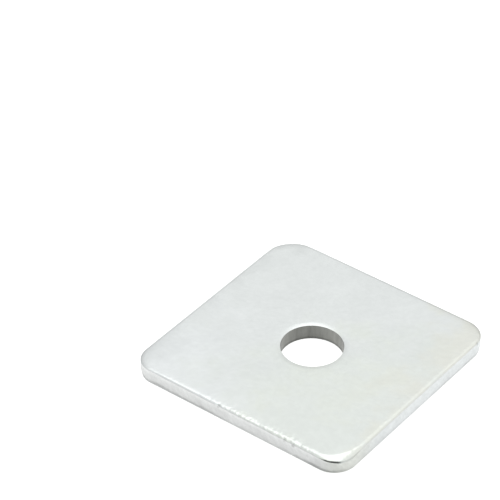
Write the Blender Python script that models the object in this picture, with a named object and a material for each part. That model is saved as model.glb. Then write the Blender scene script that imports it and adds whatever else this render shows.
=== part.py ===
"""Square plate washer: one piece of steel plate, blanked and pierced in one stroke, then zinc plated.

Metres, +Z up. The origin is the hole's centre on the flat underside, which bears on the work.
The tool's first bite rolls the metal over, so the top of the outline and of the hole is round.
Below that the tool leaves a smooth upright land, and below the land the steel breaks away at a
slight taper, with its last edge tumbled round.
"""

import math

import bmesh
import bpy

# Driving dimensions.
PLATE_SIDE = 0.050  # across two opposite sides, at the land
PLATE_THICKNESS = 0.0035
CORNER_RADIUS = 0.005  # of the outline in plan, at the land
HOLE_DIAMETER = 0.0125  # at the land, where it passes the bolt

# Die roll: how far back from the land and how far below the top face the rounded edge reaches.
SIDE_ROLL_WIDTH = 0.0014
SIDE_ROLL_DEPTH = 0.00036
CORNER_ROLL_WIDTH = 0.0024
CORNER_ROLL_DEPTH = 0.0005
BITTEN_ROLL_WIDTH = 0.0018  # the corner at +X and -Y, which the punch met first
BITTEN_ROLL_DEPTH = 0.00092
HOLE_ROLL_WIDTH = 0.0013
HOLE_ROLL_DEPTH = 0.0003

# Along the outline, from a corner's middle to where the sides' roll takes over.
CORNER_WIDTH_REACH = 0.008
CORNER_DEPTH_REACH = 0.0055

# Break: the torn lower part of each cut.
BREAK_HEIGHT = 0.0012  # from the underside up to the land
BREAK_SETBACK = 0.0002  # at the underside, the gap between punch and die
ARRIS_RADIUS = 0.00012  # of the tumbled edge between the break and the underside

# The outline's roll leaves the face gently and drops fastest just above the land. Each pair is a share
# of the roll's width and the share of its depth that it has dropped by there.
ROLL_CURVE = (
    (0, 0),
    (0.17, 0.03),
    (0.33, 0.11),
    (0.50, 0.22),
    (0.67, 0.36),
    (0.78, 0.49),
    (0.89, 0.67),
    (1, 1),
)

# How finely the round stretches are cut into flats.
CORNER_SEGMENTS = 14
SIDE_SEGMENTS = 12
HOLE_ROLL_SEGMENTS = 6
ARRIS_SEGMENTS = 2
SMOOTH_ANGLE = math.radians(30)

# The limits that keep a wide roll inside a small corner, and a deep one above the break.
ROLL_SHARE_OF_CORNER = 0.9
ROLL_SHARE_OF_LAND = 0.9

QUARTERS = 4
STATIONS = QUARTERS * (CORNER_SEGMENTS + SIDE_SEGMENTS)


def quarter_round(width, height, segments):
    """Points of a quarter ellipse, as (back, down), from (width, 0) to (0, height)."""
    points = []
    for step in range(segments + 1):
        angle = math.radians(90) * step / segments
        points.append((width * (1 - math.sin(angle)), height * (1 - math.cos(angle))))
    return points


def cut_section(roll):
    """One cut edge below a roll of (back, down) points, as (back from the land, height)."""
    section = [(back, PLATE_THICKNESS - down) for back, down in roll]
    section.append((0, BREAK_HEIGHT))
    for back, up in reversed(quarter_round(ARRIS_RADIUS, ARRIS_RADIUS, ARRIS_SEGMENTS)):
        section.append((BREAK_SETBACK + back, up))
    return section


def corner_share(away, reach):
    """How much of a corner's roll is left at this distance along the outline from the corner's middle."""
    left = max(0, 1 - away / reach)
    return left * left * (3 - 2 * left)


def outline_roll(x, y):
    """The outline's roll beside a point of the outline, as (back, down) points."""
    centre = PLATE_SIDE / 2 - CORNER_RADIUS
    across = abs(x) - centre
    along = abs(y) - centre
    away = math.radians(45) * CORNER_RADIUS - min(across, along)
    if min(across, along) > 0:
        away = abs(math.atan2(along, across) - math.radians(45)) * CORNER_RADIUS
    bitten = x > 0 > y
    corner_width = BITTEN_ROLL_WIDTH if bitten else CORNER_ROLL_WIDTH
    corner_depth = BITTEN_ROLL_DEPTH if bitten else CORNER_ROLL_DEPTH
    width = SIDE_ROLL_WIDTH + corner_share(away, CORNER_WIDTH_REACH) * (corner_width - SIDE_ROLL_WIDTH)
    depth = SIDE_ROLL_DEPTH + corner_share(away, CORNER_DEPTH_REACH) * (corner_depth - SIDE_ROLL_DEPTH)
    width = min(width, ROLL_SHARE_OF_CORNER * CORNER_RADIUS)
    depth = min(depth, ROLL_SHARE_OF_LAND * (PLATE_THICKNESS - BREAK_HEIGHT))
    return [(width * (1 - share), depth * dropped) for share, dropped in ROLL_CURVE]


def quarter_outline(turn):
    """One corner and the side after it, as (point, outward direction)."""
    centre = PLATE_SIDE / 2 - CORNER_RADIUS
    straight = 2 * centre
    stations = []
    for step in range(CORNER_SEGMENTS + 1):
        angle = math.radians(90) * step / CORNER_SEGMENTS
        out = (math.cos(angle), math.sin(angle))
        stations.append(((centre + CORNER_RADIUS * out[0], centre + CORNER_RADIUS * out[1]), out))
    for step in range(1, SIDE_SEGMENTS):
        # The steps are short near the corners, where the roll changes.
        along = straight * (1 - math.cos(math.pi * step / SIDE_SEGMENTS)) / 2
        stations.append(((centre - along, PLATE_SIDE / 2), (0, 1)))
    cosine, sine = round(math.cos(turn)), round(math.sin(turn))
    turned = []
    for (x, y), (u, v) in stations:
        point = (cosine * x - sine * y, sine * x + cosine * y)
        out = (cosine * u - sine * v, sine * u + cosine * v)
        turned.append((point, out))
    return turned


def outline_cut():
    """For each station round the outline, its cut section as points in space."""
    sections = []
    for quarter in range(QUARTERS):
        for (x, y), (u, v) in quarter_outline(math.radians(90) * quarter):
            section = cut_section(outline_roll(x, y))
            sections.append([(x - u * back, y - v * back, height) for back, height in section])
    return sections


def hole_cut():
    """For each station round the hole, its cut section as points in space."""
    depth = min(HOLE_ROLL_DEPTH, ROLL_SHARE_OF_LAND * (PLATE_THICKNESS - BREAK_HEIGHT))
    cut = cut_section(quarter_round(HOLE_ROLL_WIDTH, depth, HOLE_ROLL_SEGMENTS))
    middle_of_corner = CORNER_SEGMENTS / 2
    sections = []
    for station in range(STATIONS):
        angle = math.radians(45) + math.tau * (station - middle_of_corner) / STATIONS
        section = []
        for back, height in cut:
            radius = HOLE_DIAMETER / 2 + back
            section.append((radius * math.cos(angle), radius * math.sin(angle), height))
        sections.append(section)
    return sections


def carry_round(bm, sections):
    """Skins closed sections that stand side by side in a ring."""
    rings = [[bm.verts.new(point) for point in section] for section in sections]
    for station, ring in enumerate(rings):
        following = rings[(station + 1) % len(rings)]
        for corner in range(len(ring)):
            after = (corner + 1) % len(ring)
            bm.faces.new((ring[corner], ring[after], following[after], following[corner]))


def zinc_plate():
    """Bright zinc on mild steel: a pale metal, a little cool, satin from the plating bath."""
    material = bpy.data.materials.new("bright_zinc_plate")
    material.use_nodes = True
    shader = material.node_tree.nodes["Principled BSDF"]
    shader.inputs["Base Color"].default_value = (0.78, 0.80, 0.80, 1)
    shader.inputs["Metallic"].default_value = 1
    shader.inputs["Roughness"].default_value = 0.32
    return material


def square_plate_washer():
    """The washer's section runs down the outline's cut and back up the hole's."""
    sections = [
        outer + list(reversed(inner)) for outer, inner in zip(outline_cut(), hole_cut())
    ]
    bm = bmesh.new()
    carry_round(bm, sections)
    bmesh.ops.recalc_face_normals(bm, faces=bm.faces)
    mesh = bpy.data.meshes.new("square_plate_washer")
    bm.to_mesh(mesh)
    bm.free()
    mesh.shade_smooth()
    mesh.set_sharp_from_angle(angle=SMOOTH_ANGLE)
    mesh.materials.append(zinc_plate())
    washer = bpy.data.objects.new("square_plate_washer", mesh)
    bpy.context.scene.collection.objects.link(washer)
    return washer


def main():
    for obj in list(bpy.data.objects):
        bpy.data.objects.remove(obj)
    square_plate_washer()


main()
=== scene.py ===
import math

import bmesh
import bpy
from mathutils import Matrix, Vector


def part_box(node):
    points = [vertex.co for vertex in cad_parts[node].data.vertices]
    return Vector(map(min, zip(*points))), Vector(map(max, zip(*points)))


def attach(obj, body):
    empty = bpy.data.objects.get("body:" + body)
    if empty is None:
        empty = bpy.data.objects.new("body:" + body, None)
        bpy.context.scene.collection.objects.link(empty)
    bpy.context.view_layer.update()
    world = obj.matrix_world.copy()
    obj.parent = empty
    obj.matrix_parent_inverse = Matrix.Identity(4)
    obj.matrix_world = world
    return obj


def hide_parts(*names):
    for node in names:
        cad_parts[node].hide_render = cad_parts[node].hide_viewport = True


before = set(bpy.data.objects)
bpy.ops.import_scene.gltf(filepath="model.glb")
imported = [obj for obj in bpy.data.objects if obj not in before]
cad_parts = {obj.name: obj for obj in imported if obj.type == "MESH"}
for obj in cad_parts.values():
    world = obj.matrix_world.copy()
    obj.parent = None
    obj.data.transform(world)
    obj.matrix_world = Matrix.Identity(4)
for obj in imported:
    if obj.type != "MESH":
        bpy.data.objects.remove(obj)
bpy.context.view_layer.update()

# The washer is one piece of mild steel plate. A press blanks its outline and pierces its hole in one
# stroke, so each cut has an edge that rolled over, a smooth land and a torn break below it. The batch
# is then tumbled, which rounds the last arris and dents the edges, and zinc plated.
low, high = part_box("square_plate_washer")
side = high.x - low.x
thickness = high.z - low.z
corner_radius = 0.0050
left_corner_radius = 0.0045
far_corner_radius = 0.0055
corner_slack = 0.0003  # more than either of those two departs from the others
hole_radius = 0.00625

side_roll = (0.0013, 0.00025)  # how far back from the cut the rolled edge starts, and how deep it drops
left_roll_width = 0.0034
right_roll_width = 0.0012
corner_roll = (0.0024, 0.00031)
near_corner_roll = (0.0020, 0.00108)
near_corner_middle = math.radians(33)  # the near corner's roll is deepest a little towards +X
roll_reach = (0.0080, 0.0068)  # along the outline, from a corner's middle to where its own roll ends
near_roll_reach = (0.0045, 0.0060)
roll_tilt = 0.95  # the share by which the roll deepens from the plate's middle to its near corner
right_lean = 0.15  # how much of that tilt the +X side has
hole_roll = 0.0010
hole_roll_depth = 0.00016

break_height = 0.0012
break_setback = 0.0002
bore_break_setback = 0.00006
arris = 0.00012
bore_arris = 0.00006
touch = 0.00001  # closer than this is the same place

bpy.ops.object.select_all(action="DESELECT")
bpy.ops.mesh.primitive_plane_add(size=side, location=(0, 0, 0))
washer = bpy.context.object
washer.name = "plated_washer"
washer.data.name = "plated_washer"

FACE, CUT, BORE = range(3)
for finish in ("bright_zinc_on_rolled_steel", "bright_zinc_on_sheared_edge", "dull_zinc_in_bore"):
    washer.data.materials.append(bpy.data.materials.new(finish))


def pick(kind, wanted):
    """Selects only the verts, edges or faces of the washer that are wanted, in edit mode."""
    bpy.ops.mesh.select_mode(type={"verts": "VERT", "edges": "EDGE", "faces": "FACE"}[kind])
    bpy.ops.mesh.select_all(action="DESELECT")
    shape = bmesh.from_edit_mesh(washer.data)
    for element in getattr(shape, kind):
        if wanted(element):
            element.select_set(True)
    bmesh.update_edit_mesh(washer.data)


def depth_inside(point):
    """How far a point lies inside the outline at the land, seen from above."""
    x = abs(point.x) - (side / 2 - corner_radius)
    y = abs(point.y) - (side / 2 - corner_radius)
    return corner_radius - math.hypot(max(x, 0), max(y, 0)) - min(max(x, y), 0)


def outside_hole(point):
    """How far a point lies from the hole's land, seen from above."""
    return point.xy.length - hole_radius


def height_is(edge, height):
    """Whether both ends of an edge are at this height."""
    return all(abs(end.co.z - height) < touch for end in edge.verts)


def smooth_step(share):
    """Eases a share from 0 to 1."""
    share = min(max(share, 0), 1)
    return share * share * (3 - 2 * share)


def roll_at(point):
    """The width and the depth of the outline's roll beside a point. The near corner was blanked hardest."""
    x = abs(point.x) - (side / 2 - corner_radius)
    y = abs(point.y) - (side / 2 - corner_radius)
    is_near = point.x > 0 > point.y
    corner = near_corner_roll if is_near else corner_roll
    middle = near_corner_middle if is_near else math.radians(45)
    reaches = near_roll_reach if is_near else roll_reach
    if min(x, y) > 0:
        away = abs(math.atan2(y, x) - middle) * corner_radius
    elif x > y:
        away = middle * corner_radius - y
    else:
        away = (math.radians(90) - middle) * corner_radius - x
    lean = (point.x - point.y) / side
    if point.x > -point.y:
        lean = min(lean, right_lean)
    straight_width = side_roll[0]
    if x > y:
        straight_width = right_roll_width if point.x > 0 else left_roll_width
    straight = (straight_width, side_roll[1] * (1 + roll_tilt * lean))
    shares = [1 - smooth_step(away / reach) for reach in reaches]
    return [along + share * (most - along) for along, most, share in zip(straight, corner, shares)]


# The outline is a square with its corners rounded, cut finely enough to carry a torn edge.
bpy.ops.object.mode_set(mode="EDIT")
for radius, is_corner in (
    (corner_radius, lambda vert: vert.co.x > 0),
    (left_corner_radius, lambda vert: vert.co.x < 0 and vert.co.y < 0),
    (far_corner_radius, lambda vert: vert.co.x < 0 < vert.co.y),
):
    pick("verts", is_corner)
    bpy.ops.mesh.bevel(offset=radius, segments=40, affect="VERTICES")
pick("edges", lambda edge: edge.calc_length() > side / 2)
bpy.ops.mesh.subdivide(number_cuts=9)
pick("edges", lambda edge: edge.calc_length() > side / 20)
bpy.ops.mesh.subdivide(number_cuts=19)
bpy.ops.mesh.select_all(action="SELECT")
bpy.ops.mesh.delete(type="ONLY_FACE")

# The hole has as many corners as the outline, so that the two are bridged by a sheet of strips, and
# the sheet is given the plate's thickness.
stations = len(bmesh.from_edit_mesh(washer.data).verts)
bpy.ops.mesh.primitive_circle_add(vertices=stations, radius=hole_radius, location=(0, 0, 0))
bpy.ops.mesh.select_all(action="SELECT")
bpy.ops.mesh.bridge_edge_loops()
bpy.ops.mesh.select_all(action="SELECT")
bpy.ops.mesh.extrude_region_move(TRANSFORM_OT_translate={"value": (0, 0, thickness)})
bpy.ops.mesh.select_all(action="SELECT")
bpy.ops.mesh.normals_make_consistent(inside=False)

# The outline's die roll is a bevel, and is widest on the left side. It leaves the face gently, and its last
# third drops steeply to the land.
bpy.ops.object.mode_set(mode="OBJECT")
roll_width = washer.data.attributes.new("bevel_weight_edge", "FLOAT", "EDGE")
for edge in washer.data.edges:
    start, end = (washer.data.vertices[index].co for index in edge.vertices)
    if min(start.z, end.z) > thickness - touch and max(depth_inside(start), depth_inside(end)) < corner_slack:
        roll_width.data[edge.index].value = roll_at((start + end) / 2)[0] / left_roll_width
rolled = washer.modifiers.new("die roll", "BEVEL")
rolled.limit_method = "WEIGHT"
rolled.width = left_roll_width
rolled.segments = 12
rolled.use_clamp_overlap = False
rolled.profile_type = "CUSTOM"
for across, left in (
    (0.17, 0.985),
    (0.33, 0.94),
    (0.50, 0.85),
    (0.67, 0.70),
    (0.78, 0.55),
    (0.89, 0.35),
    (0.98, 0.04),
):
    rolled.custom_profile.points.add(across, left)
rolled.custom_profile.update()
bpy.ops.object.modifier_apply(modifier=rolled.name)

# A roll is as wide as it is deep so far, and is now pressed up to its real depth.
for vert in washer.data.vertices:
    width, depth = roll_at(vert.co)
    if vert.co.z > touch and depth_inside(vert.co) < width + corner_slack:
        vert.co.z = thickness - (thickness - vert.co.z) * depth / width
bpy.ops.object.mode_set(mode="EDIT")

# The hole's roll is shallower, has one width and slopes evenly.
pick(
    "edges",
    lambda edge: height_is(edge, thickness) and all(abs(outside_hole(end.co)) < touch for end in edge.verts),
)
bpy.ops.mesh.bevel(offset=hole_roll, segments=8, profile=0.3, affect="EDGES")
pick("verts", lambda vert: outside_hole(vert.co) < hole_roll + touch and vert.co.z > thickness - hole_roll - touch)
bpy.ops.transform.resize(value=(1, 1, hole_roll_depth / hole_roll), center_override=(0, 0, thickness))

# The break is a taper below each land, and its foot has been tumbled round.
for setback, rounding, beyond in (
    (break_setback, arris, depth_inside),
    (bore_break_setback, bore_arris, outside_hole),
):
    is_foot = lambda edge: height_is(edge, 0) and beyond(edge.verts[0].co) < hole_roll
    pick("edges", lambda edge: is_foot(edge) and edge.calc_face_angle(0) > 1)
    bpy.ops.mesh.bevel(offset=setback, segments=1, affect="EDGES")
    pick("verts", lambda vert: touch < vert.co.z < 2 * setback and beyond(vert.co) < hole_roll)
    bpy.ops.transform.translate(value=(0, 0, break_height - setback))
    pick("edges", lambda edge: is_foot(edge) and edge.calc_face_angle(0) > 0.5)
    bpy.ops.mesh.bevel(offset=rounding, segments=3, affect="EDGES")

# The walls of both cuts are marked.
for finish, is_wall in (
    (CUT, lambda face: depth_inside(face.calc_center_median()) < side / 4),
    (BORE, lambda face: outside_hole(face.calc_center_median()) < hole_roll),
):
    pick("faces", lambda face: abs(face.normal.z) < 0.25 and is_wall(face))
    washer.active_material_index = finish
    bpy.ops.object.material_slot_assign()

# Rings round the walls and across the two faces carry the finer shapes.
wall_rings = [step * 0.00015 for step in range(1, 21)]
for height in wall_rings:
    bpy.ops.mesh.select_all(action="SELECT")
    bpy.ops.mesh.bisect(plane_co=(0, 0, height), plane_no=(0, 0, 1), threshold=touch / 10)
for height, rings in ((thickness, 12), (0, 3)):
    pick("edges", lambda edge: height_is(edge, height) and edge.calc_length() > hole_radius)
    bpy.ops.mesh.subdivide(number_cuts=rings)
bpy.ops.object.mode_set(mode="OBJECT")

# The roll is uneven, most of all along the near side where the steel dragged on the die, and the
# break below is torn. The two groups say how much each place moves. One attribute marks a painted dark
# line along the top of the land, painted shade for the dark that the roll's steep foot mirrors there, and
# the knocks from the tumbler that sit on it, which it darkens too. The other marks where the roll is dragged
# rough.
knocks = (
    ((-0.0037, -0.0250, 0.0031), (0, 0.00022, -0.00008)),
    ((0.0120, -0.0250, 0.0030), (0, 0.00010, -0.00004)),
    ((0.0141, -0.0250, 0.0029), (0, 0.00010, -0.00004)),
    ((0.0250, 0.0205, 0.0031), (-0.00018, 0, -0.00008)),
)
uneven = washer.vertex_groups.new(name="uneven_roll")
torn = washer.vertex_groups.new(name="torn_break")
dark_line_weights = []
drags = []
for vert in washer.data.vertices:
    depth = roll_at(vert.co)[1]
    off_line = abs(vert.co.z - thickness + depth) / 0.00022
    beside = depth_inside(vert.co) < 0.0005
    shallow = smooth_step((0.0008 - depth) / 0.0004)
    dark_line_weight = 0.5 * smooth_step(1 - off_line) * beside * shallow * (1 if vert.co.y < -0.020 else 0.6)
    for place, push in knocks:
        dark_line_weight = max(dark_line_weight, smooth_step(1 - (vert.co - Vector(place)).length / 0.0006))
    dark_line_weights.append(dark_line_weight)
    on_roll = smooth_step((vert.co.z - 0.0024) / 0.0005) * smooth_step((0.0024 - depth_inside(vert.co)) / 0.0012)
    dragged = smooth_step((vert.co.x + 0.012) / 0.014) * smooth_step((0.020 - vert.co.x) / 0.004)
    if vert.co.y > -0.020:
        dragged = 0.2
    drags.append(smooth_step((0.0018 - depth_inside(vert.co)) / 0.0006) * on_roll * dragged)
    uneven.add([vert.index], on_roll * (0.25 + 0.75 * dragged), "REPLACE")
    in_break = smooth_step((break_height + 0.0001 - vert.co.z) / 0.0003) * smooth_step((vert.co.z - touch) / arris)
    torn.add([vert.index], in_break, "REPLACE")
for mark, values in (("painted_dark_line", dark_line_weights), ("dragged_roll", drags)):
    marked = washer.data.attributes.new(mark, "FLOAT", "POINT")
    marked.data.foreach_set("value", values)
for group, grain, amount in ((uneven, 0.0008, 0.00012), (torn, 0.0004, 0.00007)):
    lumps = bpy.data.textures.new(group.name, "CLOUDS")
    lumps.noise_scale = grain
    lumps.noise_depth = 3
    moved = washer.modifiers.new(group.name, "DISPLACE")
    moved.texture = lumps
    moved.vertex_group = group.name
    moved.strength = amount
    moved.mid_level = 0.8
    bpy.ops.object.modifier_apply(modifier=moved.name)

# Each knock is pushed in a little.
bpy.ops.object.mode_set(mode="EDIT")
for place, push in knocks:
    place = Vector(place)
    nearest = min((vert.co - place).length for vert in bmesh.from_edit_mesh(washer.data).verts)
    pick("verts", lambda vert: (vert.co - place).length < nearest + touch / 10)
    bpy.ops.transform.translate(
        value=push, use_proportional_edit=True, proportional_edit_falloff="SMOOTH", proportional_size=0.0006
    )
bpy.ops.object.mode_set(mode="OBJECT")

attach(washer, "root")
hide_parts("square_plate_washer")


def linear(code):
    """An sRGB hex colour as linear red, green, blue and full alpha."""
    parts = [int(code[start : start + 2], 16) / 255 for start in (1, 3, 5)]
    return [part / 12.92 if part <= 0.04045 else ((part + 0.055) / 1.055) ** 2.4 for part in parts] + [1]


def node(owner, kind, settings=None, inputs=()):
    """Adds a node to a material or world, with its settings, and gives its inputs values or links."""
    added = owner.node_tree.nodes.new("ShaderNode" + kind)
    for name, value in (settings or {}).items():
        setattr(added, name, value)
    for socket, value in zip([socket for socket in added.inputs if socket.enabled], inputs):
        if isinstance(value, bpy.types.NodeSocket):
            owner.node_tree.links.new(value, socket)
        elif value is not None:
            socket.default_value = value
    return added


# Bright zinc under a clear passivate film. The film is thin and uneven, so it tints the metal: bluish
# on the left, green along the near half and straw at the right end. Painted shade darkens the left rim.
# Distances are in metres.
zinc = washer.data.materials[FACE]
zinc.use_nodes = True
shader = zinc.node_tree.nodes["Principled BSDF"]
place = node(zinc, "TexCoord").outputs["Object"]
film = node(zinc, "TexNoise", {}, [place, 95, 3, 0.6])
drift = node(zinc, "VectorMath", {"operation": "SUBTRACT"}, [film.outputs["Color"], (0.5, 0.5, 0.5)])
flowed = node(zinc, "VectorMath", {"operation": "MULTIPLY_ADD"}, [drift.outputs[0], (0.04, 0.04, 0), place])
rightward = node(zinc, "VectorMath", {"operation": "DOT_PRODUCT"}, [flowed.outputs[0], (1, 1, 0)])
nearward = node(zinc, "VectorMath", {"operation": "DOT_PRODUCT"}, [flowed.outputs[0], (1, -1, 0)])
ease = {"interpolation_type": "SMOOTHSTEP"}
thin = node(zinc, "MapRange", ease, [rightward.outputs["Value"], -0.045, -0.014, 1.0, 0.0])
thick = node(zinc, "MapRange", ease, [nearward.outputs["Value"], -0.010, 0.012, 0.0, 1.0])
at_right_end = node(zinc, "VectorMath", {"operation": "DOT_PRODUCT"}, [flowed.outputs[0], (1, 0.25, 0)])
thickest = node(zinc, "MapRange", ease, [at_right_end.outputs["Value"], 0.0175, 0.0285, 0.0, 1.0])
blotch = node(zinc, "MapRange", ease, [film.outputs["Fac"], 0.52, 0.66, 0.0, 0.4])
blotch = node(zinc, "Math", {"operation": "MULTIPLY"}, [blotch.outputs[0], thick.outputs[0]])
colour_mix = {"data_type": "RGBA"}
tint = node(zinc, "Mix", colour_mix, [thick.outputs[0], linear("#E4E8E7"), linear("#E3E8E4")])
tint = node(zinc, "Mix", colour_mix, [thin.outputs[0], tint.outputs[2], linear("#E9EDED")])
tint = node(zinc, "Mix", colour_mix, [thickest.outputs[0], tint.outputs[2], linear("#E4E6DF")])
tint = node(zinc, "Mix", colour_mix, [blotch.outputs[0], tint.outputs[2], linear("#E3E8DF")])
clouds = node(zinc, "TexNoise", {}, [place, 160, 4, 0.65])
grain = node(zinc, "TexNoise", {}, [place, 1300, 2, 0.6])
specks = node(zinc, "TexNoise", {}, [place, 2600, 1, 0.5])
shade = node(zinc, "MapRange", {}, [clouds.outputs["Fac"], 0.3, 0.7, 0.975, 1.025])
grain_shade = node(zinc, "MapRange", {}, [grain.outputs["Fac"], 0.3, 0.7, 0.985, 1.015])
speck_shade = node(zinc, "MapRange", {}, [specks.outputs["Fac"], 0.70, 0.80, 1.0, 0.90])
shade = node(zinc, "Math", {"operation": "MULTIPLY"}, [shade.outputs[0], grain_shade.outputs[0]])
shade = node(zinc, "Math", {"operation": "MULTIPLY"}, [shade.outputs[0], speck_shade.outputs[0]])
# Painted shade along the face's left rim.
rim = node(zinc, "SeparateXYZ", {}, [flowed.outputs[0]]).outputs["X"]
painted_rim_shade = node(zinc, "MapRange", ease, [rim, -0.0245, -0.0195, 0.955, 1.0])
shade = node(zinc, "Math", {"operation": "MULTIPLY"}, [shade.outputs[0], painted_rim_shade.outputs[0]])
# A painted dark line along the top of the land and on the knocks stands in for the dark they mirror.
line = node(zinc, "Attribute", {"attribute_name": "painted_dark_line"}).outputs["Fac"]
painted_line_shade = node(zinc, "MapRange", {}, [line, 0, 1, 1.0, 0.70])
shade = node(zinc, "Math", {"operation": "MULTIPLY"}, [shade.outputs[0], painted_line_shade.outputs[0]])
colour = node(zinc, "VectorMath", {"operation": "SCALE"}, [tint.outputs[2], shade.outputs[0]])
satin = node(zinc, "MapRange", {}, [clouds.outputs["Fac"], 0.3, 0.7, 0.26, 0.20])
dragged = node(zinc, "Attribute", {"attribute_name": "dragged_roll"}).outputs["Fac"]
roughened = node(zinc, "MapRange", {}, [dragged, 0, 1, 0.00002, 0.0002])
relief = node(zinc, "Bump", {}, [0.35, roughened.outputs[0], None, grain.outputs["Fac"]])
zinc.node_tree.links.new(colour.outputs[0], shader.inputs["Base Color"])
zinc.node_tree.links.new(satin.outputs[0], shader.inputs["Roughness"])
zinc.node_tree.links.new(relief.outputs[0], shader.inputs["Normal"])
shader.inputs["Metallic"].default_value = 1

# The sheared edge is zinc over a dragged surface, and streaks lean along the cut. A painted dark line runs
# under the top of the land, painted light and shade change the wall round the outline, and painted shade darkens
# the torn foot.
edge_zinc = washer.data.materials[CUT]
edge_zinc.use_nodes = True
shader = edge_zinc.node_tree.nodes["Principled BSDF"]
place = node(edge_zinc, "TexCoord").outputs["Object"]
height = node(edge_zinc, "SeparateXYZ", {}, [place]).outputs["Z"]
leaned = node(edge_zinc, "VectorMath", {"operation": "MULTIPLY_ADD"}, [height, (0.5, 0.5, -0.7), place])
drag = node(edge_zinc, "TexNoise", {}, [leaned.outputs[0], 1100, 3, 0.6])
patches = node(edge_zinc, "TexNoise", {}, [place, 420, 3, 0.6])
round_edge = node(edge_zinc, "VectorMath", {"operation": "DOT_PRODUCT"}, [place, (10, 10, 0)])
round_edge = node(edge_zinc, "Math", {"operation": "ADD"}, [round_edge.outputs["Value"], 0.5])
# Two ramps run round the outline. The first paints light and shade into the wall's colour, darkest round the near
# corner; the second sets how strongly painted shade darkens the torn foot.
painted_side_light = node(edge_zinc, "ValToRGB", {}, [round_edge.outputs[0]])
painted_foot_shade = node(edge_zinc, "ValToRGB", {}, [round_edge.outputs[0]])
for ramp, stops in (
    (painted_side_light, ((0, 0.89), (0.14, 0.83), (0.26, 0.85), (0.43, 0.85), (0.46, 0.78), (0.485, 0.76), (0.505, 0.82),
             (0.55, 0.86), (0.62, 0.88), (0.70, 0.94), (1, 0.94))),
    (painted_foot_shade, ((0, 0.25), (0.21, 0.28), (0.25, 0.12), (0.39, 0.12), (0.44, 0.40), (0.48, 0.36), (0.505, 0.20),
                 (0.54, 0.02), (0.76, 0.04), (0.82, 0.11), (1, 0.13))),
):
    ramp.color_ramp.elements.remove(ramp.color_ramp.elements[1])
    ramp.color_ramp.elements[0].position = stops[0][0]
    ramp.color_ramp.elements[0].color = [stops[0][1]] * 3 + [1]
    for position, level in stops[1:]:
        ramp.color_ramp.elements.new(position).color = [level] * 3 + [1]
# The painted shade at the foot wanders in height with the patches.
wander = node(edge_zinc, "MapRange", {}, [patches.outputs["Fac"], 0.3, 0.7, -0.0003, 0.0003])
torn_height = node(edge_zinc, "Math", {"operation": "ADD"}, [height, wander.outputs[0]])
foot = node(edge_zinc, "MapRange", ease, [torn_height.outputs[0], 0.0005, 0.0011, 1.0, 0.0])
foot = node(edge_zinc, "Math", {"operation": "MULTIPLY"}, [foot.outputs[0], painted_foot_shade.outputs["Color"]])
foot = node(edge_zinc, "Math", {"operation": "SUBTRACT"}, [1.0, foot.outputs[0]])
drag_shade = node(edge_zinc, "MapRange", {}, [drag.outputs["Fac"], 0.3, 0.7, 0.94, 1.06])
patch_shade = node(edge_zinc, "MapRange", {}, [patches.outputs["Fac"], 0.3, 0.7, 0.96, 1.04])
shade = node(edge_zinc, "Math", {"operation": "MULTIPLY"}, [drag_shade.outputs[0], patch_shade.outputs[0]])
shade = node(edge_zinc, "Math", {"operation": "MULTIPLY"}, [shade.outputs[0], foot.outputs[0]])
shade = node(edge_zinc, "Math", {"operation": "MULTIPLY"}, [shade.outputs[0], painted_side_light.outputs["Color"]])
# On the near-left side the upper part of the wall is made a little lighter.
upper_wall_lift = node(edge_zinc, "MapRange", ease, [round_edge.outputs[0], 0.46, 0.50, 0.09, 0.0])
upper = node(edge_zinc, "MapRange", ease, [height, 0.0021, 0.0029, 0.0, 1.0])
upper_wall_lift = node(edge_zinc, "Math", {"operation": "MULTIPLY_ADD"}, [upper_wall_lift.outputs[0], upper.outputs[0], 1.0])
shade = node(edge_zinc, "Math", {"operation": "MULTIPLY"}, [shade.outputs[0], upper_wall_lift.outputs[0]])
# The painted dark line along the top of the land, broken into dashes.
line = node(edge_zinc, "Attribute", {"attribute_name": "painted_dark_line"}).outputs["Fac"]
dashes = node(edge_zinc, "MapRange", {}, [patches.outputs["Fac"], 0.42, 0.62, 0.5, 2.0])
line = node(edge_zinc, "Math", {"operation": "MULTIPLY"}, [line, dashes.outputs[0]])
painted_line_shade = node(edge_zinc, "MapRange", {}, [line.outputs[0], 0, 1, 1.0, 0.70])
shade = node(edge_zinc, "Math", {"operation": "MULTIPLY"}, [shade.outputs[0], painted_line_shade.outputs[0]])
greener = node(edge_zinc, "MapRange", ease, [round_edge.outputs[0], 0.44, 0.50, 0.0, 1.0])
bluer = node(edge_zinc, "MapRange", ease, [round_edge.outputs[0], 0.54, 0.64, 0.0, 1.0])
tint = node(edge_zinc, "Mix", colour_mix, [greener.outputs[0], linear("#F3F5F4"), linear("#F2F5EF")])
tint = node(edge_zinc, "Mix", colour_mix, [bluer.outputs[0], tint.outputs[2], linear("#F1F5F5")])
colour = node(edge_zinc, "VectorMath", {"operation": "SCALE"}, [tint.outputs[2], shade.outputs[0]])
relief = node(edge_zinc, "Bump", {}, [0.5, 0.00003, None, drag.outputs["Fac"]])
edge_zinc.node_tree.links.new(colour.outputs[0], shader.inputs["Base Color"])
edge_zinc.node_tree.links.new(relief.outputs[0], shader.inputs["Normal"])
shader.inputs["Metallic"].default_value = 1
shader.inputs["Roughness"].default_value = 0.26

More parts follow.
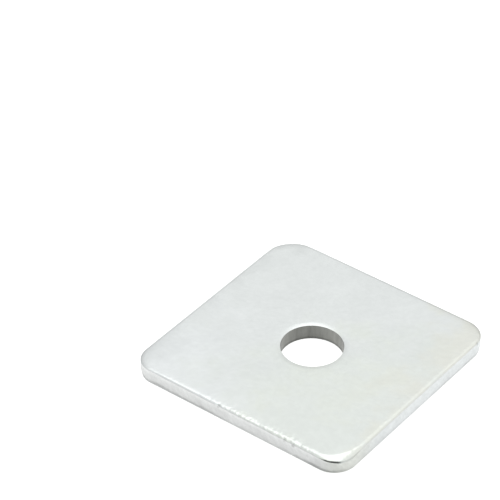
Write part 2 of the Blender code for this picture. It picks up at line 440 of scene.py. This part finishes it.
# The bore is zinc with upright marks from the punch. Its dull grey colour is painted shade for the
# hollow of the hole, painted light makes it a little brighter at its two ends, and painted shade darkens its torn
# foot.
dull = washer.data.materials[BORE]
dull.use_nodes = True
shader = dull.node_tree.nodes["Principled BSDF"]
place = node(dull, "TexCoord").outputs["Object"]
upright = node(dull, "VectorMath", {"operation": "MULTIPLY"}, [place, (1, 1, 0.2)])
marks = node(dull, "TexNoise", {}, [upright.outputs[0], 900, 3, 0.6])
sideways = node(dull, "VectorMath", {"operation": "DOT_PRODUCT"}, [place, (0.7071, 0.7071, 0)])
sideways = node(dull, "Math", {"operation": "ABSOLUTE"}, [sideways.outputs["Value"]])
# Painted light: the bore is lighter at its two ends.
ends = node(dull, "MapRange", ease, [sideways.outputs[0], 0.0005, 0.0055, 1.0, 1.5])
height = node(dull, "SeparateXYZ", {}, [place]).outputs["Z"]
# Painted shade darkens the bore's foot.
foot = node(dull, "MapRange", ease, [height, 0.0003, 0.0008, 0.7, 1.0])
mark_shade = node(dull, "MapRange", {}, [marks.outputs["Fac"], 0.3, 0.7, 0.86, 1.14])
shade = node(dull, "Math", {"operation": "MULTIPLY"}, [ends.outputs[0], foot.outputs[0]])
shade = node(dull, "Math", {"operation": "MULTIPLY"}, [shade.outputs[0], mark_shade.outputs[0]])
colour = node(dull, "VectorMath", {"operation": "SCALE"}, [linear("#858682")[:3], shade.outputs[0]])
dull.node_tree.links.new(colour.outputs[0], shader.inputs["Base Color"])
shader.inputs["Metallic"].default_value = 1
shader.inputs["Roughness"].default_value = 0.3

# The wide faces keep flat normals up to where the rolls start.
bpy.ops.object.shade_smooth_by_angle(angle=math.radians(35))
flat_faces = washer.modifiers.new("flat faces", "WEIGHTED_NORMAL")
flat_faces.keep_sharp = True
bpy.ops.object.modifier_apply(modifier=flat_faces.name)

# The set is a pale floor that runs out of view on every side. It reads as white where nothing shades it.
bpy.ops.mesh.primitive_plane_add(size=3, location=(0, 0, low.z - touch))
floor = bpy.context.object
floor.name = "floor"
white_paper = bpy.data.materials.new("white_paper")
white_paper.use_nodes = True
floor.data.materials.append(white_paper)
shader = white_paper.node_tree.nodes["Principled BSDF"]
shader.inputs["Base Color"].default_value = linear("#C8C8C8")
shader.inputs["Roughness"].default_value = 0.9
shader.inputs["Specular IOR Level"].default_value = 0
shader.inputs["Emission Color"].default_value = (1, 1, 1, 1)
light_path = node(white_paper, "LightPath").outputs
mirrored = [light_path["Is Glossy Ray"], light_path["Is Transmission Ray"]]
mirrored = node(white_paper, "Math", {"operation": "MAXIMUM"}, mirrored)
mirrored_lift = node(white_paper, "Math", {"operation": "MULTIPLY"}, [mirrored.outputs[0], 0.42])
seen_lift = node(white_paper, "Math", {"operation": "MULTIPLY"}, [light_path["Is Camera Ray"], 0.74])
lift = node(white_paper, "Math", {"operation": "ADD"}, [mirrored_lift.outputs[0], seen_lift.outputs[0]])
white_paper.node_tree.links.new(lift.outputs[0], shader.inputs["Emission Strength"])

# The room is a white tent. It dims towards its foot, on the left and at the far right.
world = bpy.data.worlds.new("white_tent")
bpy.context.scene.world = world
world.use_nodes = True
direction = node(world, "TexCoord").outputs["Generated"]
split = node(world, "SeparateXYZ", {}, [direction])
foot = node(world, "MapRange", ease, [split.outputs["Z"], 0.05, 0.75, 0.72, 1.0])
tent = foot.outputs["Result"]
for way, rise, starts, full, level in ((190, 20, 0.62, 0.80, 0.84), (97, 12, 0.90, 0.98, 0.86)):
    way = Vector((math.cos(math.radians(way)), math.sin(math.radians(way)), math.tan(math.radians(rise))))
    towards = node(world, "VectorMath", {"operation": "DOT_PRODUCT"}, [direction, way.normalized()])
    dim = node(world, "MapRange", ease, [towards.outputs["Value"], starts, full, 1.0, level])
    tent = node(world, "Math", {"operation": "MULTIPLY"}, [tent, dim.outputs["Result"]]).outputs[0]
light_path = node(world, "LightPath").outputs
strength = node(world, "Mix", {}, [light_path["Is Camera Ray"], tent, 1.0])
background = world.node_tree.nodes["Background"]
background.inputs["Color"].default_value = (1, 1, 1, 1)
world.node_tree.links.new(strength.outputs["Result"], background.inputs["Strength"])

# The camera stands where the photograph was taken from, above the plate's nearest corner.
azimuth = math.radians(37.684)
elevation = math.radians(37.601)
aim = Vector((-0.03090, 0.02023, 0))
distance = 0.53507
back = Vector(
    (
        math.sin(azimuth) * math.cos(elevation),
        -math.cos(azimuth) * math.cos(elevation),
        math.sin(elevation),
    )
)
bpy.ops.object.camera_add(location=aim + back * distance)
camera = bpy.context.object
camera.rotation_euler = (-back).to_track_quat("-Z", "Y").to_euler()
camera.data.sensor_width = 36
camera.data.lens = 187.2
bpy.context.scene.camera = camera
bpy.context.scene.view_settings.view_transform = "Standard"

# A wide soft box hangs face down above the washer. Two weaker ones stand to the right and behind it.
near = Vector((back.x, back.y, 0)).normalized()
left = Vector((near.y, -near.x, 0))
up = Vector((0, 0, 1))
face_down = Matrix.Rotation(math.radians(11), 3, "Z") @ Matrix((near.cross(up), near, up)).transposed()
for name, spot, width, length, radiance in (
    ("key_box", near * 0.13 + left * -0.0275 + up * 0.5, 0.405, 0.94, 0.45),
    ("fill_box", near * -0.20 + left * -0.70 + up * 0.33, 0.45, 0.50, 0.16),
    ("back_box", near * -0.34 + left * -0.23 + up * 0.44, 0.14, 0.14, 0.15),
):
    turn = face_down if name == "key_box" else (-spot).to_track_quat("-Z", "Y").to_matrix()
    bpy.ops.object.light_add(type="AREA", location=spot, rotation=turn.to_euler())
    lamp = bpy.context.object
    lamp.name = name
    lamp.data.shape = "RECTANGLE"
    lamp.data.size = width
    lamp.data.size_y = length
    lamp.data.energy = radiance * math.pi * width * length

# A small dark grey card stands close to the nearest corner. The camera doesn't see it, only the dark
# line that it draws under the corner's roll.
card_distance = 0.0545
card_shift = 0.0065
card_height = 0.0185
card_width = 0.044
grey_card = bpy.data.materials.new("grey_card")
grey_card.use_nodes = True
grey_card.node_tree.nodes["Principled BSDF"].inputs["Base Color"].default_value = linear("#484848")
bpy.ops.mesh.primitive_plane_add(size=1)
card = bpy.context.object
card.name = "card"
card.data.transform(
    Matrix.Rotation(math.atan2(near.y, near.x) - math.radians(90), 4, "Z")
    @ Matrix.Translation((card_shift, card_distance, card_height / 2))
    @ Matrix.Rotation(math.radians(90), 4, "X")
    @ Matrix.Diagonal((card_width, card_height, 1, 1))
)
card.data.materials.append(grey_card)
card.visible_camera = False
